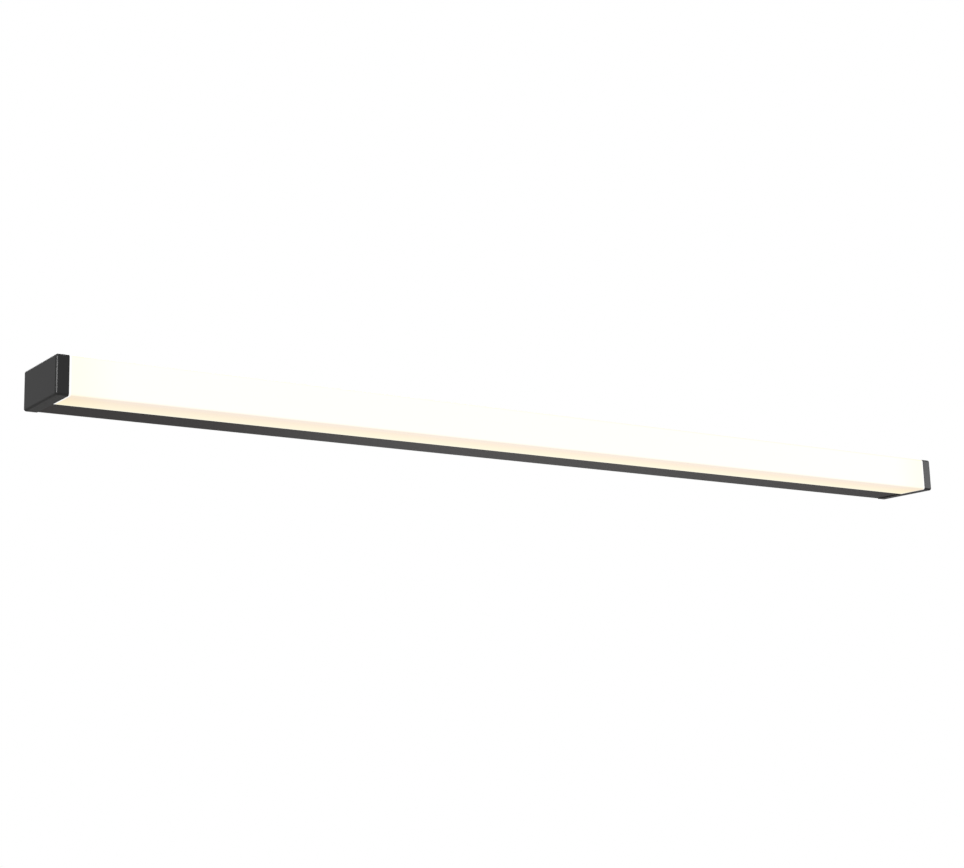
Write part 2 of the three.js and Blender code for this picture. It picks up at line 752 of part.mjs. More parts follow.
function terminalBlock() {
  const z = [-terminalHalfHeight, terminalHalfHeight];
  let body = block([terminalLeft, terminalRight], [fixingPlane, blockFront], z);
  const footY = [fixingPlane, fixingPlane + terminalFootThickness];
  body = body.add(block([terminalLeft - terminalFoot, terminalLeft + 1], footY, [-5, 5]));
  const hole = smallScrew.shank + screwClearance;
  body = body.subtract(rod([terminalScrewX, footY[0] - 1, 0], [terminalScrewX, footY[1] + 1, 0], hole, 16));
  const channelHalf = poleHalf + gap;
  for (const [, poleZ] of poles) {
    const channelX = [terminalLeft - 1, terminalRight + 1];
    const channelY = [polePlane - channelHalf, polePlane + channelHalf];
    body = body.subtract(block(channelX, channelY, [poleZ - channelHalf, poleZ + channelHalf]));
    for (const x of poleScrewXs) {
      const access = poleScrew + 0.4;
      body = body.subtract(rod([x, polePlane, poleZ], [x, blockFront + 1, poleZ], access, 16));
    }
  }
  return body;
}

function poleClamp(poleZ) {
  const x = [terminalLeft + 2, terminalRight - 2];
  const y = [polePlane - poleHalf, polePlane + poleHalf];
  let clamp = block(x, y, [poleZ - poleHalf, poleZ + poleHalf]);
  for (const screwX of poleScrewXs) {
    const head = blockFront - poleScrewDepth;
    clamp = clamp.add(rod([screwX, polePlane + terminalBore, poleZ], [screwX, head, poleZ], poleScrew, 12));
    const slot = [screwX - poleScrew - 1, screwX + poleScrew + 1];
    clamp = clamp.subtract(block(slot, [head - 1, blockFront], [poleZ - 0.3, poleZ + 0.3]));
  }
  return clamp.subtract(rod([x[0] - 1, polePlane, poleZ], [x[1] + 1, polePlane, poleZ], terminalBore, 12));
}

piece("terminal_block", terminalBlock(), "white_plastic");
for (const [pole, z] of poles) piece(`terminal_clamp_${pole}`, poleClamp(z), "brass");
const footSeat = fixingPlane + terminalFootThickness + gap;
const footScrew = screw(smallScrew, [terminalScrewX, footSeat, 0], [0, -1, 0], footSeat - fixingScrewTip);
piece("terminal_block_screw", footScrew, "steel");

// ---------------------------------------------------------------- mains leads and earth connection

const leadStart = terminalRight - 9;
const driverEntry = driverLeft + driverWall + 3;

for (const [pole, entryZ] of mainsEntries) {
  const poleZ = pole === "live" ? polePitch : 0;
  const route = [
    [leadStart, polePlane, poleZ],
    [terminalRight + 4, polePlane, poleZ],
    [terminalRight + 30, polePlane + 1, poleZ + 0.4],
    [terminalRight + 58, polePlane + 1.5, (2 * poleZ + entryZ) / 3],
    [driverLeft - 12, leadPlane, entryZ],
    [driverEntry, leadPlane, entryZ],
  ];
  piece(`mains_lead_${pole}`, lead(route, mainsLead, 26), pole === "live" ? "brown_lead" : "blue_lead");
}

const barrelBore = mainsLead + barrelClearance;
const barrelRadius = barrelBore + barrelWall;
const barrelPlane = fixingPlane + barrelRadius;
const barrelStart = earthX - ringRadius - barrelLength;
const earthZ = -polePitch;

function ringTerminal() {
  const ringTop = fixingPlane + ringThickness;
  const barrelEnd = earthX - ringRadius + 0.5;
  const ring = rod([earthX, fixingPlane, earthZ], [earthX, ringTop, earthZ], ringRadius, 24);
  const neck = block([barrelEnd - 1, earthX], [fixingPlane, ringTop], [earthZ - 1.6, earthZ + 1.6]);
  const centre = [barrelPlane, earthZ];
  const barrel = rod([barrelStart, ...centre], [barrelEnd, ...centre], barrelRadius, 16);
  const bore = rod([barrelStart - 1, ...centre], [barrelEnd + 1, ...centre], barrelBore, 16);
  const eyeRadius = largeScrew.shank + screwClearance;
  const eye = rod([earthX, fixingPlane - 1, earthZ], [earthX, ringTop + 1, earthZ], eyeRadius);
  return ring.add(neck).add(barrel).subtract(bore).subtract(eye);
}

function lockWasher(seat) {
  const washerTop = seat + ringThickness;
  const disc = rod([earthX, seat, earthZ], [earthX, washerTop, earthZ], ringRadius - 0.4, 24);
  let washer = disc.subtract(rod([earthX, seat - 1, earthZ], [earthX, washerTop + 1, earthZ], 2.3, 16));
  const teeth = 8;
  for (let i = 0; i < teeth; i += 1) {
    const turn = (2 * Math.PI * i) / teeth;
    const x = earthX + ringRadius * Math.cos(turn);
    const z = earthZ + ringRadius * Math.sin(turn);
    washer = washer.subtract(rod([x, seat - 1, z], [x, washerTop + 1, z], 0.8, 8));
  }
  return washer;
}

const earthRoute = [
  [leadStart, polePlane, earthZ],
  [terminalRight + 4, polePlane, earthZ],
  [terminalRight + 17, (2 * polePlane + barrelPlane) / 3, earthZ],
  [terminalRight + 31, (polePlane + 4 * barrelPlane) / 5, earthZ],
  [barrelStart - 4, barrelPlane, earthZ],
  [barrelStart + 4, barrelPlane, earthZ],
];
piece("mains_lead_earth", lead(earthRoute, mainsLead, 18), "earth_lead");
piece("earth_ring_terminal", ringTerminal(), "zinc");
const washerSeat = fixingPlane + ringThickness + gap;
piece("earth_lock_washer", lockWasher(washerSeat), "zinc");
const earthSeat = washerSeat + ringThickness + gap;
const earthScrew = screw(largeScrew, [earthX, earthSeat, earthZ], [0, -1, 0], earthSeat - fixingScrewTip);
piece("earth_screw", earthScrew, "zinc");

export default lightBar;
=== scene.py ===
"""A 1.2 m wall light bar: a black aluminium channel with a lit opal cover, two black end caps, the
lighting and mains parts inside, and the steel bracket that carries it.

Lengths are metres, with +X along the bar, -Y to the room and +Z up."""

import math

import bmesh
import bpy
from mathutils import Matrix, Vector


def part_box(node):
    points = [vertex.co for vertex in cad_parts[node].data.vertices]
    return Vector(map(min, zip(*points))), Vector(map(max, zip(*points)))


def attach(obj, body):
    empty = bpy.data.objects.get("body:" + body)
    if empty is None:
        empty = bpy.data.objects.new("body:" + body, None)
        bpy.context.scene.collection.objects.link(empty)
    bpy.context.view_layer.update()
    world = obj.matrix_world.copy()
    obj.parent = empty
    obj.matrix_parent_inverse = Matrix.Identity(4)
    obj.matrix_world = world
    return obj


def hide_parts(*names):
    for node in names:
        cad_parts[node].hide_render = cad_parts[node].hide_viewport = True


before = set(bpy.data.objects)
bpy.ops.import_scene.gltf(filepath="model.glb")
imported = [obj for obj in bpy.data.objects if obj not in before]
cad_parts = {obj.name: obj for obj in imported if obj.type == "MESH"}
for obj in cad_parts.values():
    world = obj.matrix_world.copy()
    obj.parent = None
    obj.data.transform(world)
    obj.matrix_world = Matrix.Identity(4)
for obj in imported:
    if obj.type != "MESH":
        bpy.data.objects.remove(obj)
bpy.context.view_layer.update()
MM = 0.001


# ------------------------------------------------------------------------------------------- camera
# A longer portrait lens stands to the left of the bar, in front of it and below, and looks up along it.
# Pitch and yaw are turned from straight ahead, and the slight roll is about the line of sight.

CAMERA_PLACE = Vector((-1178.2, -1593.0, -390.2)) * MM
CAMERA_YAW = math.radians(35.06)
CAMERA_PITCH = math.radians(11.59)
CAMERA_ROLL = math.radians(-1.63)
CAMERA_LENS = 64.97

camera_data = bpy.data.cameras.new("camera")
camera_data.sensor_width = 36
camera_data.lens = CAMERA_LENS
camera = bpy.data.objects.new("camera", camera_data)
turn = Matrix.Rotation(-CAMERA_YAW, 4, "Z") @ Matrix.Rotation(math.pi / 2 + CAMERA_PITCH, 4, "X")
camera.matrix_world = Matrix.Translation(CAMERA_PLACE) @ turn @ Matrix.Rotation(CAMERA_ROLL, 4, "Z")
bpy.context.collection.objects.link(camera)
bpy.context.scene.camera = camera


# ------------------------------------------------------------------------------------------- studio
# A pale painted floor well below the bar and a white surround. Four softboxes light it: a key in front
# to the left, a square one in front to the right, and behind it a weak one low down and a broad one above.

FLOOR_CENTRE = (0, -0.6, -1.3)
FLOOR_HALF = 8
FLOOR_GLOW = 0.92
SURROUND_LIGHT = 0.34


def linear(code):
    """An sRGB colour such as "#2b2b2c" as linear red, green, blue and full alpha."""
    parts = [int(code[i : i + 2], 16) / 255 for i in (1, 3, 5)]
    return [p / 12.92 if p <= 0.04045 else ((p + 0.055) / 1.055) ** 2.4 for p in parts] + [1.0]


def add(tree, kind, inputs=None, **settings):
    """Adds a node with its settings, and its inputs as values or as the sockets that feed them."""
    node = tree.nodes.new(kind)
    for name, value in settings.items():
        setattr(node, name, value)
    for name, value in (inputs or {}).items():
        if isinstance(value, bpy.types.NodeSocket):
            tree.links.new(value, node.inputs[name])
        else:
            node.inputs[name].default_value = value
    return node


def new_material(name, **inputs):
    """A material with one Principled shader, whose uniform values are set on its own sockets."""
    material = bpy.data.materials.new(name)
    material.use_nodes = True
    shader = material.node_tree.nodes["Principled BSDF"]
    for socket, value in inputs.items():
        shader.inputs[socket.replace("_", " ")].default_value = value
    return material, material.node_tree, shader


scene = bpy.context.scene
scene.view_settings.view_transform = "Standard"
world = bpy.data.worlds.new("white_surround")
scene.world = world
world.use_nodes = True
sky = world.node_tree
seen = add(sky, "ShaderNodeLightPath")
lit = sky.nodes["Background"]
lit.inputs["Color"].default_value = linear("#ffffff")
lit.inputs["Strength"].default_value = SURROUND_LIGHT
backdrop = add(sky, "ShaderNodeBackground", {"Color": linear("#ffffff"), "Strength": 1.0})
surround = add(
    sky,
    "ShaderNodeMixShader",
    {0: seen.outputs["Is Camera Ray"], 1: lit.outputs["Background"], 2: backdrop.outputs["Background"]},
)
sky.links.new(surround.outputs["Shader"], sky.nodes["World Output"].inputs["Surface"])

floor_material, tree, shader = new_material(
    "pale_floor_paint", Base_Color=linear("#afaead"), Roughness=0.8, Emission_Color=linear("#f4f3f1")
)
seen = add(tree, "ShaderNodeLightPath")
lift = add(tree, "ShaderNodeMath", {0: seen.outputs["Is Camera Ray"], 1: FLOOR_GLOW}, operation="MULTIPLY")
tree.links.new(lift.outputs["Value"], shader.inputs["Emission Strength"])
floor_bm = bmesh.new()
bmesh.ops.create_grid(floor_bm, x_segments=1, y_segments=1, size=FLOOR_HALF)
bmesh.ops.translate(floor_bm, verts=floor_bm.verts, vec=FLOOR_CENTRE)
floor_mesh = bpy.data.meshes.new("floor")
floor_bm.to_mesh(floor_mesh)
floor_bm.free()
floor_mesh.materials.append(floor_material)
floor = bpy.data.objects.new("floor", floor_mesh)
bpy.context.collection.objects.link(floor)


def softbox(name, place, target, size, watts):
    """A rectangular light at one place, turned to another, that the camera doesn't see."""
    light = bpy.data.lights.new(name, "AREA")
    light.shape = "RECTANGLE"
    light.size, light.size_y = size
    light.energy = watts
    lamp = bpy.data.objects.new(name, light)
    lamp.location = place
    lamp.rotation_euler = (Vector(target) - Vector(place)).to_track_quat("-Z", "Y").to_euler()
    lamp.visible_camera = False
    bpy.context.collection.objects.link(lamp)


softbox("key_softbox", (-2.0, -1.65, 0.5), (-0.6, 0, 0), (1.1, 0.4), 22)
softbox("right_softbox", (2.3, -1.5, 0.35), (0.6, -0.08, 0), (0.9, 0.9), 7.6)
softbox("low_rear_softbox", (1.3, 1.5, -1.0), (0.1, 0, 0), (1.4, 0.4), 2.0)
softbox("top_softbox", (0.2, 1.7, 1.6), (0, 0, 0), (2.4, 1.2), 45)


# ----------------------------------------------------------------------------------------- end caps
# Black polycarbonate caps, moulded as shallow cups. Each has a fixing tongue that reaches into the channel,
# with two stiffening ribs, and is held by two screws that only show once the bar is off the wall.

CAP_JOINT = 0.4 * MM
CAP_FILLET = 2.5 * MM
CAP_FILLET_STEPS = 6
CAP_CORNER = 2.6 * MM
CAP_FACE = 3 * MM
CAP_RIM = 4.6 * MM
CAP_EASE = 0.25 * MM
POCKET_CORNER = 0.5 * MM
GROOVE_OUTER = 1.2 * MM  # from the outline, with its corner
GROOVE_OUTER_CORNER = 1.2 * MM
GROOVE_INNER = 3.6 * MM
GROOVE_INNER_CORNER = 0.6 * MM
GROOVE_DEPTH = 1.7 * MM
FIXING_PLANE = -35.7 * MM
TONGUE_THICKNESS = 3 * MM
TONGUE_HALF_HEIGHT = 14.5 * MM
CAP_SCREW_HOLE = 2.3 * MM
ROOT_SINK = 1 * MM  # into the rim
RIB_PLACE = 12.5 * MM
RIB_THICKNESS = 2 * MM
RIB_DEPTH = 18 * MM
RIB_SINK = 0.5 * MM  # into the tongue
RIB_START = 6 * MM  # from the tongue's tip
housing_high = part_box("housing")[1]
cap_low, cap_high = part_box("end_cap_right")
rim_plane = housing_high.x + CAP_JOINT
cap_outer = cap_high.x


def outline(bm, x, inset, corner):
    """The cap's outline at x as a ring of edges, moved inwards and with rounded corners."""
    made = bmesh.ops.create_grid(bm, x_segments=1, y_segments=1, size=0.5)
    verts = made["verts"]
    depth = cap_high.y - cap_low.y - 2 * inset
    height = cap_high.z - cap_low.z - 2 * inset
    bmesh.ops.scale(bm, verts=verts, vec=(depth, height, 1))
    middle = (cap_low.y + cap_high.y) / 2
    stand = Matrix(((0, 0, 1, x), (1, 0, 0, middle), (0, 1, 0, 0), (0, 0, 0, 1)))
    bmesh.ops.transform(bm, verts=verts, matrix=stand)
    rounded = bmesh.ops.bevel(
        bm, geom=verts, offset=corner, segments=8, profile=0.5, affect="VERTICES", material=-1
    )
    face = rounded["verts"][0].link_faces[0]
    edges = list(face.edges)
    bmesh.ops.delete(bm, geom=[face], context="FACES_ONLY")
    return edges


def loft(bm, rings, closed=False):
    """Joins rings of edges one after another, and back to the first where closed."""
    pairs = zip(rings, rings[1:] + rings[:1] if closed else rings[1:])
    for first, second in pairs:
        bmesh.ops.bridge_loops(bm, edges=first + second)


def slab(bm, low, high, ease=0.0):
    """A block between two corners, with its edges eased if a width is given."""
    made = bmesh.ops.create_cube(bm, size=1)
    low, high = Vector(low), Vector(high)
    bmesh.ops.scale(bm, verts=made["verts"], vec=high - low)
    bmesh.ops.translate(bm, verts=made["verts"], vec=(low + high) / 2)
    if ease:
        edges = list({e for v in made["verts"] for e in v.link_edges})
        bmesh.ops.bevel(
            bm, geom=edges, offset=ease, segments=2, profile=0.5, affect="EDGES", material=-1
        )


def drilled_plate(bm, low, high, holes, radius):
    """A plate that lies along the wall, between two corners, with round holes at some (x, z)."""
    low, high = Vector(low), Vector(high)
    corners = ((low.x, low.z), (high.x, low.z), (high.x, high.z), (low.x, high.z))
    verts = [bm.verts.new((x, low.y, z)) for x, z in corners]
    edges = [bm.edges.new(pair) for pair in zip(verts, verts[1:] + verts[:1])]
    for x, z in holes:
        stand = Matrix.Translation((x, low.y, z)) @ Matrix.Rotation(math.pi / 2, 4, "X")
        circle = bmesh.ops.create_circle(bm, segments=24, radius=radius, matrix=stand)
        edges += {e for v in circle["verts"] for e in v.link_edges}
    filled = bmesh.ops.triangle_fill(bm, use_beauty=True, edges=edges)
    faces = [part for part in filled["geom"] if isinstance(part, bmesh.types.BMFace)]
    raised = bmesh.ops.extrude_face_region(bm, geom=faces)
    far = [part for part in raised["geom"] if isinstance(part, bmesh.types.BMVert)]
    bmesh.ops.translate(bm, verts=far, vec=(0, high.y - low.y, 0))


def piece(name, bm, material, body, nodes, sharp=35):
    """Makes an object of a mesh, with creases at its edges and its material, body and CAD nodes."""
    for face in bm.faces:
        face.smooth = True
    for edge in bm.edges:
        edge.smooth = edge.calc_face_angle(0) < math.radians(sharp)
    mesh = bpy.data.meshes.new(name)
    bm.to_mesh(mesh)
    bm.free()
    mesh.materials.append(material)
    made = bpy.data.objects.new(name, mesh)
    bpy.context.collection.objects.link(made)
    flats = made.modifiers.new("true_flats", "WEIGHTED_NORMAL")
    flats.weight = 100
    flats.keep_sharp = True
    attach(made, body)
    if nodes:
        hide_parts(*nodes)
    return made


def cap_screw_places():
    """The (x, z) of the right cap's two screws."""
    places = []
    for place in ("lower", "upper"):
        low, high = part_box(f"cap_screw_right_{place}")
        places.append(((low.x + high.x) / 2, (low.z + high.z) / 2))
    return places


def cap(side):
    """One cap: rings from the middle of its outer face round to the floor of its pocket, and its tongue."""
    bm = bmesh.new()
    rings = []
    for i in range(CAP_FILLET_STEPS + 1):
        angle = math.pi / 2 * i / CAP_FILLET_STEPS
        inset = CAP_FILLET * (1 - math.sin(angle))
        x = cap_outer - CAP_FILLET * (1 - math.cos(angle))
        rings.append(outline(bm, x, inset, CAP_CORNER - inset))
    groove_floor = rim_plane + GROOVE_DEPTH
    rings.append(outline(bm, rim_plane + CAP_EASE, 0, CAP_CORNER))
    rings.append(outline(bm, rim_plane, CAP_EASE, CAP_CORNER - CAP_EASE))
    rings.append(outline(bm, rim_plane, GROOVE_OUTER, GROOVE_OUTER_CORNER))
    rings.append(outline(bm, groove_floor, GROOVE_OUTER, GROOVE_OUTER_CORNER))
    rings.append(outline(bm, groove_floor, GROOVE_INNER, GROOVE_INNER_CORNER))
    rings.append(outline(bm, rim_plane, GROOVE_INNER, GROOVE_INNER_CORNER))
    rings.append(outline(bm, rim_plane, CAP_RIM, POCKET_CORNER))
    rings.append(outline(bm, cap_outer - CAP_FACE, CAP_RIM, POCKET_CORNER))
    loft(bm, rings)
    for ring in (rings[0], rings[-1]):
        bmesh.ops.contextual_create(bm, geom=ring)

    tongue_front = FIXING_PLANE + TONGUE_THICKNESS
    root = cap_outer - CAP_FACE / 2
    tongue_low = (cap_low.x, FIXING_PLANE, -TONGUE_HALF_HEIGHT)
    tongue_high = (root, tongue_front, TONGUE_HALF_HEIGHT)
    drilled_plate(bm, tongue_low, tongue_high, cap_screw_places(), CAP_SCREW_HOLE)
    root_z = cap_high.z - CAP_RIM + ROOT_SINK
    slab(bm, (rim_plane + CAP_RIM, FIXING_PLANE, -root_z), (root, tongue_front, root_z))
    for z in (-RIB_PLACE, RIB_PLACE):
        profile = [
            (cap_low.x + RIB_START, tongue_front - RIB_SINK),
            (rim_plane + CAP_RIM, tongue_front - RIB_SINK),
            (rim_plane + CAP_RIM, tongue_front + RIB_DEPTH),
            (rim_plane, tongue_front + RIB_DEPTH),
        ]
        verts = [bm.verts.new((x, y, z - RIB_THICKNESS / 2)) for x, y in profile]
        rib = bmesh.ops.extrude_face_region(bm, geom=[bm.faces.new(verts)])
        top = [v for v in rib["geom"] if isinstance(v, bmesh.types.BMVert)]
        bmesh.ops.translate(bm, verts=top, vec=(0, 0, RIB_THICKNESS))
    bmesh.ops.scale(bm, verts=bm.verts, vec=(side, 1, 1))
    bmesh.ops.recalc_face_normals(bm, faces=bm.faces)
    return bm


# Moulded polycarbonate: a black with a trace of grey, satin from a fine spark-eroded mould. The real grain
# of about 0.1 mm is drawn four times coarser, so that it breaks up the highlights at this distance.
cap_plastic, tree, shader = new_material(
    "black_moulded_polycarbonate", Roughness=0.34, IOR=1.58, Specular_IOR_Level=0.4
)
CAP_GRAIN = 0.4 * MM
CAP_CLOUD = 35 * MM
place = add(tree, "ShaderNodeTexCoord").outputs["Object"]
grain = add(tree, "ShaderNodeTexNoise", {"Vector": place, "Scale": 1 / CAP_GRAIN, "Detail": 3.0})
tone = add(tree, "ShaderNodeTexNoise", {"Vector": place, "Scale": 1 / CAP_CLOUD, "Detail": 2.0})
shade = add(tree, "ShaderNodeMix", {"Factor": tone.outputs["Fac"]}, data_type="RGBA")
shade.inputs["A"].default_value = linear("#2a2a2b")
shade.inputs["B"].default_value = linear("#2f2f2f")
tree.links.new(shade.outputs["Result"], shader.inputs["Base Color"])
bump = add(
    tree, "ShaderNodeBump", {"Height": grain.outputs["Fac"], "Strength": 0.12, "Distance": 0.05 * MM}
)
tree.links.new(bump.outputs["Normal"], shader.inputs["Normal"])

for side, name in ((-1, "left"), (1, "right")):
    piece(f"cap_{name}", cap(side), cap_plastic, "luminaire", [f"end_cap_{name}"])


# -------------------------------------------------------------------------------------- end gaskets
# Closed-cell rubber rings, cut from sheet. One lies in the groove of each cap's rim and seals it to the
# ends of the channel and the cover.

GASKET_INSETS = (1.5 * MM, 3.3 * MM)
GASKET_CORNER = 0.6 * MM
RUBBER_CELL = 0.5 * MM

# Closed-cell rubber: dull, nearly black, and pitted where the cells are cut.
rubber, tree, shader = new_material("black_closed_cell_rubber", Roughness=0.8, IOR=1.52)
place = add(tree, "ShaderNodeTexCoord").outputs["Object"]
cells = add(tree, "ShaderNodeTexNoise", {"Vector": place, "Scale": 1 / RUBBER_CELL, "Detail": 4.0})
shade = add(tree, "ShaderNodeMix", {"Factor": cells.outputs["Fac"]}, data_type="RGBA")
shade.inputs["A"].default_value = linear("#151515")
shade.inputs["B"].default_value = linear("#232323")
tree.links.new(shade.outputs["Result"], shader.inputs["Base Color"])
bump = add(
    tree, "ShaderNodeBump", {"Height": cells.outputs["Fac"], "Strength": 0.4, "Distance": 0.1 * MM}
)
tree.links.new(bump.outputs["Normal"], shader.inputs["Normal"])

gasket_low, gasket_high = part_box("end_gasket_right")
for side, name in ((-1, "left"), (1, "right")):
    bm = bmesh.new()
    corners = [
        (gasket_low.x, GASKET_INSETS[0]),
        (gasket_low.x, GASKET_INSETS[1]),
        (gasket_high.x, GASKET_INSETS[1]),
        (gasket_high.x, GASKET_INSETS[0]),
    ]
    loft(bm, [outline(bm, x, inset, GASKET_CORNER) for x, inset in corners], closed=True)
    bmesh.ops.scale(bm, verts=bm.verts, vec=(side, 1, 1))
    bmesh.ops.recalc_face_normals(bm, faces=bm.faces)
    piece(f"gasket_{name}", bm, rubber, "luminaire", [f"end_gasket_{name}"])


# ------------------------------------------------------------------------------------------ housing
# One aluminium extrusion, powder coated matt black: two flanges and a web that the boards are screwed to.
# Its top flange has two pockets, open to the back, where the clamp screws come in.


def merged_copy(node):
    """The CAD shape of a node as whole faces, ready to have its edges eased."""
    bm = bmesh.new()
    bm.from_mesh(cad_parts[node].data)
    bmesh.ops.remove_doubles(bm, verts=bm.verts, dist=0.002 * MM)
    bmesh.ops.dissolve_limit(bm, angle_limit=math.radians(1), verts=bm.verts, edges=bm.edges)
    return bm


def ease_edges(bm, width, angle=35):
    """Rounds off every edge that turns by more than an angle in degrees."""
    edges = [e for e in bm.edges if e.calc_face_angle(0) > math.radians(angle)]
    bmesh.ops.bevel(
        bm,
        geom=edges,
        offset=width,
        segments=2,
        profile=0.5,
        affect="EDGES",
        clamp_overlap=True,
        material=-1,
    )
    return bm


# Polyester powder coat, baked: warm black with the slight orange peel that such a coat dries with, about
# 1.5 mm from crest to crest, and a satin gloss.
coat, tree, shader = new_material("black_powder_coat", Roughness=0.44, IOR=1.5)
ORANGE_PEEL = 1.5 * MM
COAT_SPECK = 0.4 * MM
place = add(tree, "ShaderNodeTexCoord").outputs["Object"]
peel = add(tree, "ShaderNodeTexNoise", {"Vector": place, "Scale": 1 / ORANGE_PEEL, "Detail": 2.0})
speck = add(tree, "ShaderNodeTexNoise", {"Vector": place, "Scale": 1 / COAT_SPECK, "Detail": 2.0})
shade = add(tree, "ShaderNodeMix", {"Factor": speck.outputs["Fac"]}, data_type="RGBA")
shade.inputs["A"].default_value = linear("#322b2b")
shade.inputs["B"].default_value = linear("#393232")
tree.links.new(shade.outputs["Result"], shader.inputs["Base Color"])
bump = add(
    tree, "ShaderNodeBump", {"Height": peel.outputs["Fac"], "Strength": 0.15, "Distance": 0.1 * MM}
)
tree.links.new(bump.outputs["Normal"], shader.inputs["Normal"])

CHANNEL_EASE = 0.25 * MM
channel = ease_edges(merged_copy("housing"), CHANNEL_EASE)
piece("channel", channel, coat, "luminaire", ["housing"])


# ----------------------------------------------------------------------------------------- diffuser
# An opal acrylic extrusion of even 2 mm wall that snaps into the channel by two barbed hooks. The lamps
# shine on it from behind, so that its front glows nearly white and its flanks a little warmer and dimmer.

diffuser_low, diffuser_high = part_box("diffuser")
COVER_WALL = 2 * MM
COVER_CORNER = 2.5 * MM
COVER_INNER_CORNER = 0.8 * MM
SHOULDER = -43.3 * MM
HOOK_OUTER = 16.15 * MM
HOOK_INNER = 14.55 * MM
HOOK_BARB = 0.7 * MM
BARB_LENGTH = 1.6 * MM
LONG_EDGE = 100 * MM
cover_front = diffuser_low.y
cover_outer = diffuser_high.z
hook_back = diffuser_high.y

half_profile = [
    (cover_front, cover_outer),
    (SHOULDER, cover_outer),
    (SHOULDER, HOOK_OUTER),
    (hook_back - BARB_LENGTH, HOOK_OUTER),
    (hook_back - BARB_LENGTH, HOOK_OUTER + HOOK_BARB),
    (hook_back - BARB_LENGTH / 2, HOOK_OUTER + HOOK_BARB),
    (hook_back, HOOK_OUTER),
    (hook_back, HOOK_INNER),
    (SHOULDER - COVER_WALL, HOOK_INNER),
    (SHOULDER - COVER_WALL, cover_outer - COVER_WALL),
    (cover_front + COVER_WALL, cover_outer - COVER_WALL),
]
cover = bmesh.new()
profile = half_profile + [(y, -z) for y, z in reversed(half_profile)]
verts = [cover.verts.new((diffuser_low.x, y, z)) for y, z in profile]
drawn = bmesh.ops.extrude_face_region(cover, geom=[cover.faces.new(verts)])
far = [v for v in drawn["geom"] if isinstance(v, bmesh.types.BMVert)]
bmesh.ops.translate(cover, verts=far, vec=(diffuser_high.x - diffuser_low.x, 0, 0))
bmesh.ops.recalc_face_normals(cover, faces=cover.faces)


def round_corner(bm, y, z, radius):
    """Rounds the long edges of the extrusion that run through (y, z) and (y, -z)."""
    edges = []
    for edge in bm.edges:
        there = all(math.dist((v.co.y, abs(v.co.z)), (y, z)) < 0.001 * MM for v in edge.verts)
        if there and edge.calc_length() > LONG_EDGE:
            edges.append(edge)
    bmesh.ops.bevel(bm, geom=edges, offset=radius, segments=8, profile=0.5, affect="EDGES", material=-1)


round_corner(cover, cover_front, cover_outer, COVER_CORNER)
round_corner(cover, cover_front + COVER_WALL, cover_outer - COVER_WALL, COVER_INNER_CORNER)

# Opal acrylic: milky and satin, with the lamps' warm white light coming through. The flanks are lit at a
# shallow angle, so that they are creamier just behind the front edge and brighten towards the lamps.
acrylic, tree, shader = new_material(
    "lit_opal_acrylic", Base_Color=linear("#7d7a74"), Roughness=0.5, IOR=1.49, Emission_Strength=0.93
)
END_FADE = 60 * MM
END_LEAK = 2 * MM
ACRYLIC_HAZE = 6 * MM
place = add(tree, "ShaderNodeTexCoord").outputs["Object"]
axes = add(tree, "ShaderNodeSeparateXYZ", {"Vector": place})
back = add(
    tree,
    "ShaderNodeMapRange",
    {"Value": axes.outputs["Y"], "From Min": cover_front, "From Max": SHOULDER},
)
glow = add(tree, "ShaderNodeValToRGB", {"Fac": back.outputs["Result"]})
glow.color_ramp.elements[0].color = linear("#fffff6")
glow.color_ramp.elements[1].color = linear("#fffff0")
for share, code in (
    (0.012, "#fff8ea"),
    (0.035, "#f5e5d6"),
    (0.06, "#f5e6d6"),
    (0.3, "#f8e7d1"),
    (0.7, "#fdf1d5"),
    (0.955, "#fff5d9"),
    (0.975, "#fffff0"),
):
    glow.color_ramp.elements.new(share).color = linear(code)
from_end = add(tree, "ShaderNodeMath", {0: axes.outputs["X"]}, operation="ABSOLUTE")
fade = add(
    tree,
    "ShaderNodeMapRange",
    {
        "Value": from_end.outputs["Value"],
        "From Min": diffuser_high.x - END_FADE,
        "From Max": diffuser_high.x,
    },
    interpolation_type="SMOOTHSTEP",
)
ends = add(
    tree, "ShaderNodeMix", {"Factor": fade.outputs["Result"]}, data_type="RGBA", blend_type="MULTIPLY"
)
tree.links.new(glow.outputs["Color"], ends.inputs["A"])
ends.inputs["B"].default_value = linear("#fffdf3")
leak = add(
    tree,
    "ShaderNodeMapRange",
    {
        "Value": from_end.outputs["Value"],
        "From Min": diffuser_high.x - END_LEAK,
        "From Max": diffuser_high.x - END_LEAK / 2,
    },
)
joint = add(tree, "ShaderNodeMix", {"Factor": leak.outputs["Result"]}, data_type="RGBA")
tree.links.new(ends.outputs["Result"], joint.inputs["A"])
joint.inputs["B"].default_value = linear("#ffffff")
tree.links.new(joint.outputs["Result"], shader.inputs["Emission Color"])
haze = add(tree, "ShaderNodeTexNoise", {"Vector": place, "Scale": 1 / ACRYLIC_HAZE, "Detail": 2.0})
bump = add(
    tree, "ShaderNodeBump", {"Height": haze.outputs["Fac"], "Strength": 0.05, "Distance": 0.1 * MM}
)
tree.links.new(bump.outputs["Normal"], shader.inputs["Normal"])

piece("opal_cover", cover, acrylic, "luminaire", ["diffuser"])


# ------------------------------------------------------------------------------------------ bracket
# A strip of steel, pierced, bent up along both edges and zinc plated. Four lugs stand on it, the upper two
# tapped for the clamp screws, and the supply cable comes through a rubber bushing.

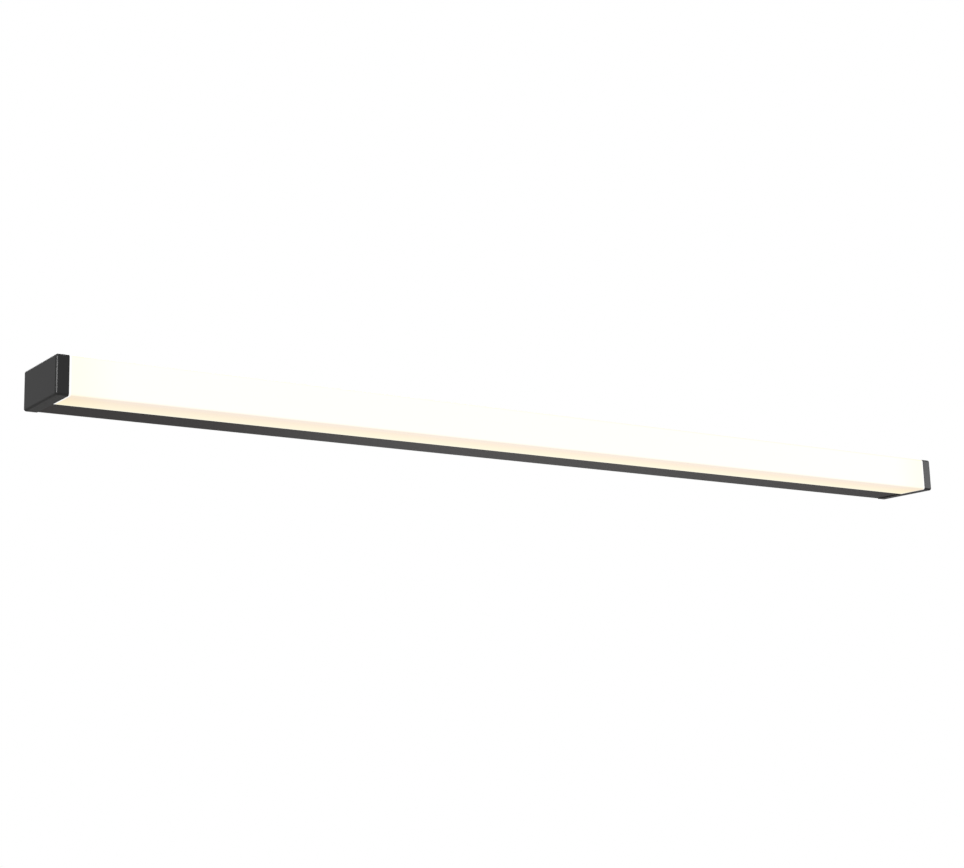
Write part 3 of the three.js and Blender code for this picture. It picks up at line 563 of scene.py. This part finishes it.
# Clear-passivated zinc: a pale grey metal, slightly cloudy over some 20 mm and with fine rolling grain.
zinc, tree, shader = new_material("zinc_plated_steel", Metallic=1.0)
ZINC_CLOUD = 20 * MM
ROLLED = (1 / (12 * MM), 1 / (0.5 * MM), 1 / (0.5 * MM))
place = add(tree, "ShaderNodeTexCoord").outputs["Object"]
cloud = add(tree, "ShaderNodeTexNoise", {"Vector": place, "Scale": 1 / ZINC_CLOUD, "Detail": 3.0})
shade = add(tree, "ShaderNodeMix", {"Factor": cloud.outputs["Fac"]}, data_type="RGBA")
shade.inputs["A"].default_value = linear("#a9adb0")
shade.inputs["B"].default_value = linear("#c6c9ca")
tree.links.new(shade.outputs["Result"], shader.inputs["Base Color"])
drawn_out = add(tree, "ShaderNodeMapping", {"Vector": place, "Scale": ROLLED}).outputs["Vector"]
rolling = add(tree, "ShaderNodeTexNoise", {"Vector": drawn_out, "Scale": 1.0, "Detail": 3.0})
gloss = add(tree, "ShaderNodeMapRange", {"Value": rolling.outputs["Fac"], "To Min": 0.3, "To Max": 0.46})
tree.links.new(gloss.outputs["Result"], shader.inputs["Roughness"])
bump = add(
    tree, "ShaderNodeBump", {"Height": rolling.outputs["Fac"], "Strength": 0.1, "Distance": 0.05 * MM}
)
tree.links.new(bump.outputs["Normal"], shader.inputs["Normal"])

BRACKET_EASE = 0.25 * MM
strip = ease_edges(merged_copy("wall_bracket"), BRACKET_EASE)
piece("pressed_bracket", strip, zinc, "bracket", ["wall_bracket"])

# The bushing, turned about its own axis: a flange, a neck in the hole and an eased bore.
BUSHING_BORE = 4.5 * MM
BUSHING_NECK = 7.7 * MM
BUSHING_FLANGE = 1.5 * MM
BUSHING_STEPS = 48
BUSHING_LIP = 0.5 * MM
bush_low, bush_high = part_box("cable_entry_bushing")
flange_radius = (bush_high.z - bush_low.z) / 2
flange_back = bush_low.y + BUSHING_FLANGE
bushing_profile = [
    (BUSHING_BORE, bush_high.y - BUSHING_LIP),
    (BUSHING_BORE + BUSHING_LIP, bush_high.y),
    (BUSHING_NECK - BUSHING_LIP, bush_high.y),
    (BUSHING_NECK, bush_high.y - BUSHING_LIP),
    (BUSHING_NECK, flange_back),
    (flange_radius - BUSHING_LIP, flange_back),
    (flange_radius, flange_back - BUSHING_LIP),
    (flange_radius, bush_low.y + BUSHING_LIP),
    (flange_radius - BUSHING_LIP, bush_low.y),
    (BUSHING_BORE + BUSHING_LIP, bush_low.y),
    (BUSHING_BORE, bush_low.y + BUSHING_LIP),
]


def turned(points, steps, closed):
    """A profile of (radius, height) turned about the Z axis. A closed one ends where it begins."""
    bm = bmesh.new()
    verts = [bm.verts.new((radius, 0, height)) for radius, height in points]
    pairs = zip(verts, verts[1:] + verts[:1] if closed else verts[1:])
    edges = [bm.edges.new(pair) for pair in pairs]
    bmesh.ops.spin(
        bm,
        geom=verts + edges,
        cent=(0, 0, 0),
        axis=(0, 0, 1),
        angle=2 * math.pi,
        steps=steps,
        use_merge=True,
    )
    bmesh.ops.remove_doubles(bm, verts=bm.verts, dist=0.001 * MM)
    return bm


bushing = turned(bushing_profile, BUSHING_STEPS, closed=True)
middle = (bush_low + bush_high) / 2
stand = Matrix.Translation((middle.x, 0, middle.z)) @ Matrix.Rotation(-math.pi / 2, 4, "X")
bmesh.ops.transform(bushing, verts=bushing.verts, matrix=stand)
bmesh.ops.recalc_face_normals(bushing, faces=bushing.faces)
piece("cable_bushing", bushing, rubber, "bracket", ["cable_entry_bushing"])


# ------------------------------------------------------------------------------------------- screws
# Socket-head screws, cold formed and thread rolled. The clamp screws in the top edge are blackened, the
# others plain, and the earth screw is zinc plated like its terminal.

# Plain bright steel, and the same blacked by hot oxide: both with faint turning and handling marks.
finishes = {}
for name, darker, lighter, roughness in (
    ("bright_steel", "#9b9da0", "#bdbfc1", 0.28),
    ("black_oxide_steel", "#1d1d1f", "#2e2e30", 0.42),
):
    metal, tree, shader = new_material(name, Metallic=1.0, Roughness=roughness)
    place = add(tree, "ShaderNodeTexCoord").outputs["Object"]
    marks = add(tree, "ShaderNodeTexNoise", {"Vector": place, "Scale": 1 / (0.6 * MM), "Detail": 4.0})
    shade = add(tree, "ShaderNodeMix", {"Factor": marks.outputs["Fac"]}, data_type="RGBA")
    shade.inputs["A"].default_value = linear(darker)
    shade.inputs["B"].default_value = linear(lighter)
    tree.links.new(shade.outputs["Result"], shader.inputs["Base Color"])
    bump = add(
        tree, "ShaderNodeBump", {"Height": marks.outputs["Fac"], "Strength": 0.1, "Distance": 0.03 * MM}
    )
    tree.links.new(bump.outputs["Normal"], shader.inputs["Normal"])
    finishes[name] = metal

THREAD_PITCH = 0.7 * MM
THREAD_DEPTH = 0.25 * MM
THREAD_START = 0.3 * MM  # above the tip
THREAD_END = 1.2 * MM  # below the head
SCREW_STEPS = 24
STEP_DEGREES = 360 / SCREW_STEPS
SOCKET_SHARE = 0.42  # of the head's radius
SOCKET_DEPTH_SHARE = 0.6  # of the head's height
HEAD_EASE = 0.15 * MM


def screw_shape(node, along, head_height, shank):
    """A screw in the place of a CAD node, with its head at one end and its tip along the way given."""
    low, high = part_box(node)
    along = Vector(along)
    head = (high.x - low.x) / 2
    reach = abs((high - low).dot(along)) / 2
    tip = head_height - 2 * reach
    points = [(0, tip), (0.6 * shank, tip)]
    height = tip + THREAD_START
    while height < -THREAD_END:
        points.append((shank, height))
        points.append((shank - THREAD_DEPTH, height + THREAD_PITCH / 2))
        height += THREAD_PITCH
    socket = SOCKET_SHARE * head
    points += [
        (shank, height),
        (shank, 0),
        (head - HEAD_EASE, 0),
        (head, HEAD_EASE),
        (head, 0.6 * head_height),
        (0.93 * head, 0.87 * head_height),
        (0.8 * head, head_height),
        (socket, head_height),
    ]
    bm = turned(points, SCREW_STEPS, closed=False)
    rim_verts = {v for v in bm.verts if v.co.z > 0.99 * head_height and v.co.xy.length < 1.01 * socket}
    rim = [e for e in bm.edges if rim_verts.issuperset(e.verts)]
    # Three of every four points on the socket's rim are drawn in to the flat of a hexagon.
    for turns in (1, 2, 3):
        pull = math.cos(math.radians(30)) / math.cos(math.radians(30 - turns * STEP_DEGREES))
        flats = []
        for vert in rim_verts:
            step = round(math.degrees(math.atan2(vert.co.y, vert.co.x)) / STEP_DEGREES)
            if step % 4 == turns:
                flats.append(vert)
        bmesh.ops.scale(bm, verts=flats, vec=(pull, pull, 1))
    walls = bmesh.ops.extrude_edge_only(bm, edges=rim)["geom"]
    floor_verts = [v for v in walls if isinstance(v, bmesh.types.BMVert)]
    bmesh.ops.translate(bm, verts=floor_verts, vec=(0, 0, -SOCKET_DEPTH_SHARE * head_height))
    floor_edges = [e for e in walls if isinstance(e, bmesh.types.BMEdge) and e.is_boundary]
    bmesh.ops.contextual_create(bm, geom=floor_edges)
    seat = (low + high) / 2 - along * (reach - head_height)
    stand = Matrix.Translation(seat) @ along.to_track_quat("-Z", "Y").to_matrix().to_4x4()
    bmesh.ops.transform(bm, verts=bm.verts, matrix=stand)
    bmesh.ops.recalc_face_normals(bm, faces=bm.faces)
    return bm


INTO_WEB = (0, -1, 0)
FROM_FRONT = (0, 1, 0)
DOWN = (0, 0, -1)
screws = [
    (f"cap_screw_{side}_{place}", INTO_WEB, 2.4 * MM, 2 * MM)
    for side in ("left", "right")
    for place in ("lower", "upper")
]
screws += [(f"board_screw_{i}", FROM_FRONT, 1.7 * MM, 1.5 * MM) for i in range(1, 9)]
screws += [
    (node, INTO_WEB, 2.2 * MM, 1.75 * MM)
    for node in ("driver_screw_left", "driver_screw_right", "terminal_block_screw")
]
for node, along, head_height, shank in screws:
    shape = screw_shape(node, along, head_height, shank)
    piece(f"{node}_turned", shape, finishes["bright_steel"], "luminaire", [node])
earth = screw_shape("earth_screw", INTO_WEB, 2.4 * MM, 2 * MM)
piece("earth_screw_turned", earth, zinc, "luminaire", ["earth_screw"])
for side in ("left", "right"):
    node = f"clamp_screw_{side}"
    clamp = screw_shape(node, DOWN, 1.85 * MM, 2 * MM)
    piece(f"{node}_turned", clamp, finishes["black_oxide_steel"], "bracket", [node])


# ------------------------------------------------------------------------------------- light engine
# Four aluminium-backed boards with 19 small lamps each, screwed to the front of the web and joined by
# plug-over links. Their low-voltage feed comes through a bushing in the web to a push-in connector.

# White solder mask over aluminium: nearly matt, with the faint weave of the screen it was printed through.
mask, tree, shader = new_material("white_solder_mask", Roughness=0.5, IOR=1.5)
place = add(tree, "ShaderNodeTexCoord").outputs["Object"]
screened = add(tree, "ShaderNodeTexNoise", {"Vector": place, "Scale": 1 / (0.8 * MM), "Detail": 3.0})
shade = add(tree, "ShaderNodeMix", {"Factor": screened.outputs["Fac"]}, data_type="RGBA")
shade.inputs["A"].default_value = linear("#ebeae4")
shade.inputs["B"].default_value = linear("#f6f5f0")
tree.links.new(shade.outputs["Result"], shader.inputs["Base Color"])
bump = add(
    tree, "ShaderNodeBump", {"Height": screened.outputs["Fac"], "Strength": 0.1, "Distance": 0.03 * MM}
)
tree.links.new(bump.outputs["Normal"], shader.inputs["Normal"])

# The lamps' windows: silicone filled with yellow phosphor, soft-edged and slightly grainy.
phosphor, tree, shader = new_material("yellow_phosphor_silicone", Roughness=0.35, IOR=1.41)
place = add(tree, "ShaderNodeTexCoord").outputs["Object"]
grains = add(tree, "ShaderNodeTexNoise", {"Vector": place, "Scale": 1 / (0.3 * MM), "Detail": 2.0})
shade = add(tree, "ShaderNodeMix", {"Factor": grains.outputs["Fac"]}, data_type="RGBA")
shade.inputs["A"].default_value = linear("#e0b83c")
shade.inputs["B"].default_value = linear("#eecb58")
tree.links.new(shade.outputs["Result"], shader.inputs["Base Color"])

LAMPS = 19
LAMP_PITCH = 14 * MM
WINDOW_HALF_LENGTH = 1.35 * MM
WINDOW_HALF_HEIGHT = 1 * MM
WINDOW_PROUD = 0.04 * MM  # of the lamp's body
WINDOW_SUNK = 0.2 * MM
WINDOW_EASE = 0.03 * MM
for i in range(1, 5):
    board = ease_edges(merged_copy(f"led_board_{i}"), 0.12 * MM)
    piece(f"lamp_board_{i}", board, mask, "luminaire", [f"led_board_{i}"])
    board_low, board_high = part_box(f"led_board_{i}")
    windows = bmesh.new()
    for k in range(LAMPS):
        x = (board_low.x + board_high.x) / 2 + (k - (LAMPS - 1) / 2) * LAMP_PITCH
        low = (x - WINDOW_HALF_LENGTH, board_low.y - WINDOW_PROUD, -WINDOW_HALF_HEIGHT)
        high = (x + WINDOW_HALF_LENGTH, board_low.y + WINDOW_SUNK, WINDOW_HALF_HEIGHT)
        slab(windows, low, high, WINDOW_EASE)
    piece(f"lamp_windows_{i}", windows, phosphor, "luminaire", [])

# Nylon and polycarbonate mouldings: off-white, with the faint flow marks and satin face of the mould.
moulded, tree, shader = new_material("white_moulded_nylon", Roughness=0.42, IOR=1.53)
place = add(tree, "ShaderNodeTexCoord").outputs["Object"]
flow = add(tree, "ShaderNodeTexNoise", {"Vector": place, "Scale": 1 / (15 * MM), "Detail": 2.0})
shade = add(tree, "ShaderNodeMix", {"Factor": flow.outputs["Fac"]}, data_type="RGBA")
shade.inputs["A"].default_value = linear("#e3e1da")
shade.inputs["B"].default_value = linear("#efede7")
tree.links.new(shade.outputs["Result"], shader.inputs["Base Color"])
spark = add(tree, "ShaderNodeTexNoise", {"Vector": place, "Scale": 1 / (0.4 * MM), "Detail": 2.0})
bump = add(
    tree, "ShaderNodeBump", {"Height": spark.outputs["Fac"], "Strength": 0.15, "Distance": 0.04 * MM}
)
tree.links.new(bump.outputs["Normal"], shader.inputs["Normal"])

for i in range(1, 4):
    link = ease_edges(merged_copy(f"board_link_{i}"), 0.3 * MM)
    piece(f"plug_link_{i}", link, moulded, "luminaire", [f"board_link_{i}"])
connector = ease_edges(merged_copy("feed_connector"), 0.25 * MM, angle=50)
piece("push_in_connector", connector, moulded, "luminaire", ["feed_connector"])
grommet = ease_edges(merged_copy("feed_bushing"), 0.3 * MM, angle=50)
piece("feed_grommet", grommet, rubber, "luminaire", ["feed_bushing"])


# ------------------------------------------------------------------------------------------- driver
# The supply for the lamps, in a moulded tray with a clip-in lid, held to the back of the web by two
# screws through its ears. Inside are a circuit board and its larger parts.

for node, name in (("driver_tray", "driver_case"), ("driver_lid", "driver_cover")):
    moulding = ease_edges(merged_copy(node), 0.5 * MM, angle=50)
    piece(name, moulding, moulded, "luminaire", [node])

# Green solder mask on glass fibre, with the dark sleeves and cores of the parts that stand on it.
circuit, tree, shader = new_material("driver_circuit_finish", Roughness=0.4, IOR=1.5)
place = add(tree, "ShaderNodeTexCoord").outputs["Object"]
circuit_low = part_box("driver_circuit_board")[0]
BOARD = 1.6 * MM
depths = add(tree, "ShaderNodeSeparateXYZ", {"Vector": place})
standing = add(
    tree,
    "ShaderNodeMapRange",
    {
        "Value": depths.outputs["Y"],
        "From Min": circuit_low.y + BOARD,
        "From Max": circuit_low.y + BOARD + 0.1 * MM,
    },
)
tracks = add(tree, "ShaderNodeTexVoronoi", {"Vector": place, "Scale": 1 / (4 * MM)}, distance="MANHATTAN")
green = add(tree, "ShaderNodeValToRGB", {"Fac": tracks.outputs["Distance"]})
green.color_ramp.elements[0].color = linear("#2f6a42")
green.color_ramp.elements[1].color = linear("#234f33")
parts = add(tree, "ShaderNodeMix", {"Factor": standing.outputs["Result"]}, data_type="RGBA")
tree.links.new(green.outputs["Color"], parts.inputs["A"])
parts.inputs["B"].default_value = linear("#2b2a2c")
tree.links.new(parts.outputs["Result"], shader.inputs["Base Color"])
circuit_board = ease_edges(merged_copy("driver_circuit_board"), 0.2 * MM, angle=50)
piece("driver_circuit", circuit_board, circuit, "luminaire", ["driver_circuit_board"])


# ---------------------------------------------------------------------------------- mains terminals
# A three-pole block of nylon with brass clamps, on the back of the web between the cable entry and the
# driver. Its screw heads face the wall, so that the supply can be joined before the bar is pushed on.

block = ease_edges(merged_copy("terminal_block"), 0.3 * MM, angle=50)
piece("terminal_body", block, moulded, "luminaire", ["terminal_block"])

# Machined brass, dulled a little: yellow metal with fine tool marks.
brass, tree, shader = new_material("machined_brass", Metallic=1.0, Roughness=0.3)
place = add(tree, "ShaderNodeTexCoord").outputs["Object"]
dull = add(tree, "ShaderNodeTexNoise", {"Vector": place, "Scale": 1 / (2 * MM), "Detail": 4.0})
shade = add(tree, "ShaderNodeMix", {"Factor": dull.outputs["Fac"]}, data_type="RGBA")
shade.inputs["A"].default_value = linear("#b08c3e")
shade.inputs["B"].default_value = linear("#d0ad5c")
tree.links.new(shade.outputs["Result"], shader.inputs["Base Color"])
bump = add(
    tree, "ShaderNodeBump", {"Height": dull.outputs["Fac"], "Strength": 0.1, "Distance": 0.03 * MM}
)
tree.links.new(bump.outputs["Normal"], shader.inputs["Normal"])

for pole in ("live", "neutral", "earth"):
    cage = ease_edges(merged_copy(f"terminal_clamp_{pole}"), 0.12 * MM, angle=50)
    piece(f"brass_cage_{pole}", cage, brass, "luminaire", [f"terminal_clamp_{pole}"])

# The earth tag, crimped on its lead, and the toothed washer that bites through the powder coat.
for node, name in (("earth_ring_terminal", "earth_tag"), ("earth_lock_washer", "toothed_washer")):
    shape = ease_edges(merged_copy(node), 0.08 * MM, angle=50)
    piece(name, shape, zinc, "luminaire", [node])


# -------------------------------------------------------------------------------------------- leads
# Single cores in PVC, clipped between their terminals: brown and blue mains, green and yellow earth, and
# the thinner red and black low-voltage pair.

leads = (
    ("mains_lead_live", "brown_lead", "#5e3822", None),
    ("mains_lead_neutral", "blue_lead", "#25589f", None),
    ("mains_lead_earth", "earth_lead", "#3f7d2f", "#d3bd2e"),
    ("dc_lead_plus", "red_lead", "#a92c25", None),
    ("dc_lead_minus", "black_lead", "#1d1d1e", None),
)
WAX_PATCH = 3 * MM
for node, slot_name, base, stripe in leads:
    core = merged_copy(node)
    core.normal_update()
    # Extruded PVC: even and slightly waxy, with a second colour along one side of the earth core only.
    pvc, tree, shader = new_material(f"extruded_pvc_{slot_name}", Roughness=0.4, IOR=1.53)
    colour = linear(base)
    if stripe:
        striped = core.verts.layers.float.new("stripe")
        for vert in core.verts:
            vert[striped] = vert.normal.z > 0.3
        side = add(tree, "ShaderNodeAttribute", attribute_name="stripe").outputs["Fac"]
        edge = add(tree, "ShaderNodeMapRange", {"Value": side, "From Min": 0.45, "From Max": 0.55})
        two = add(tree, "ShaderNodeMix", {"Factor": edge.outputs["Result"]}, data_type="RGBA")
        two.inputs["A"].default_value = linear(base)
        two.inputs["B"].default_value = linear(stripe)
        colour = two.outputs["Result"]
    place = add(tree, "ShaderNodeTexCoord").outputs["Object"]
    wax = add(tree, "ShaderNodeTexNoise", {"Vector": place, "Scale": 1 / WAX_PATCH, "Detail": 2.0})
    tint = add(tree, "ShaderNodeMapRange", {"Value": wax.outputs["Fac"], "To Min": 0.9, "To Max": 1.1})
    worn = add(tree, "ShaderNodeHueSaturation", {"Color": colour, "Value": tint.outputs["Result"]})
    tree.links.new(worn.outputs["Color"], shader.inputs["Base Color"])
    bump = add(
        tree, "ShaderNodeBump", {"Height": wax.outputs["Fac"], "Strength": 0.1, "Distance": 0.05 * MM}
    )
    tree.links.new(bump.outputs["Normal"], shader.inputs["Normal"])
    piece(f"{node}_core", core, pvc, "luminaire", [node], sharp=60)
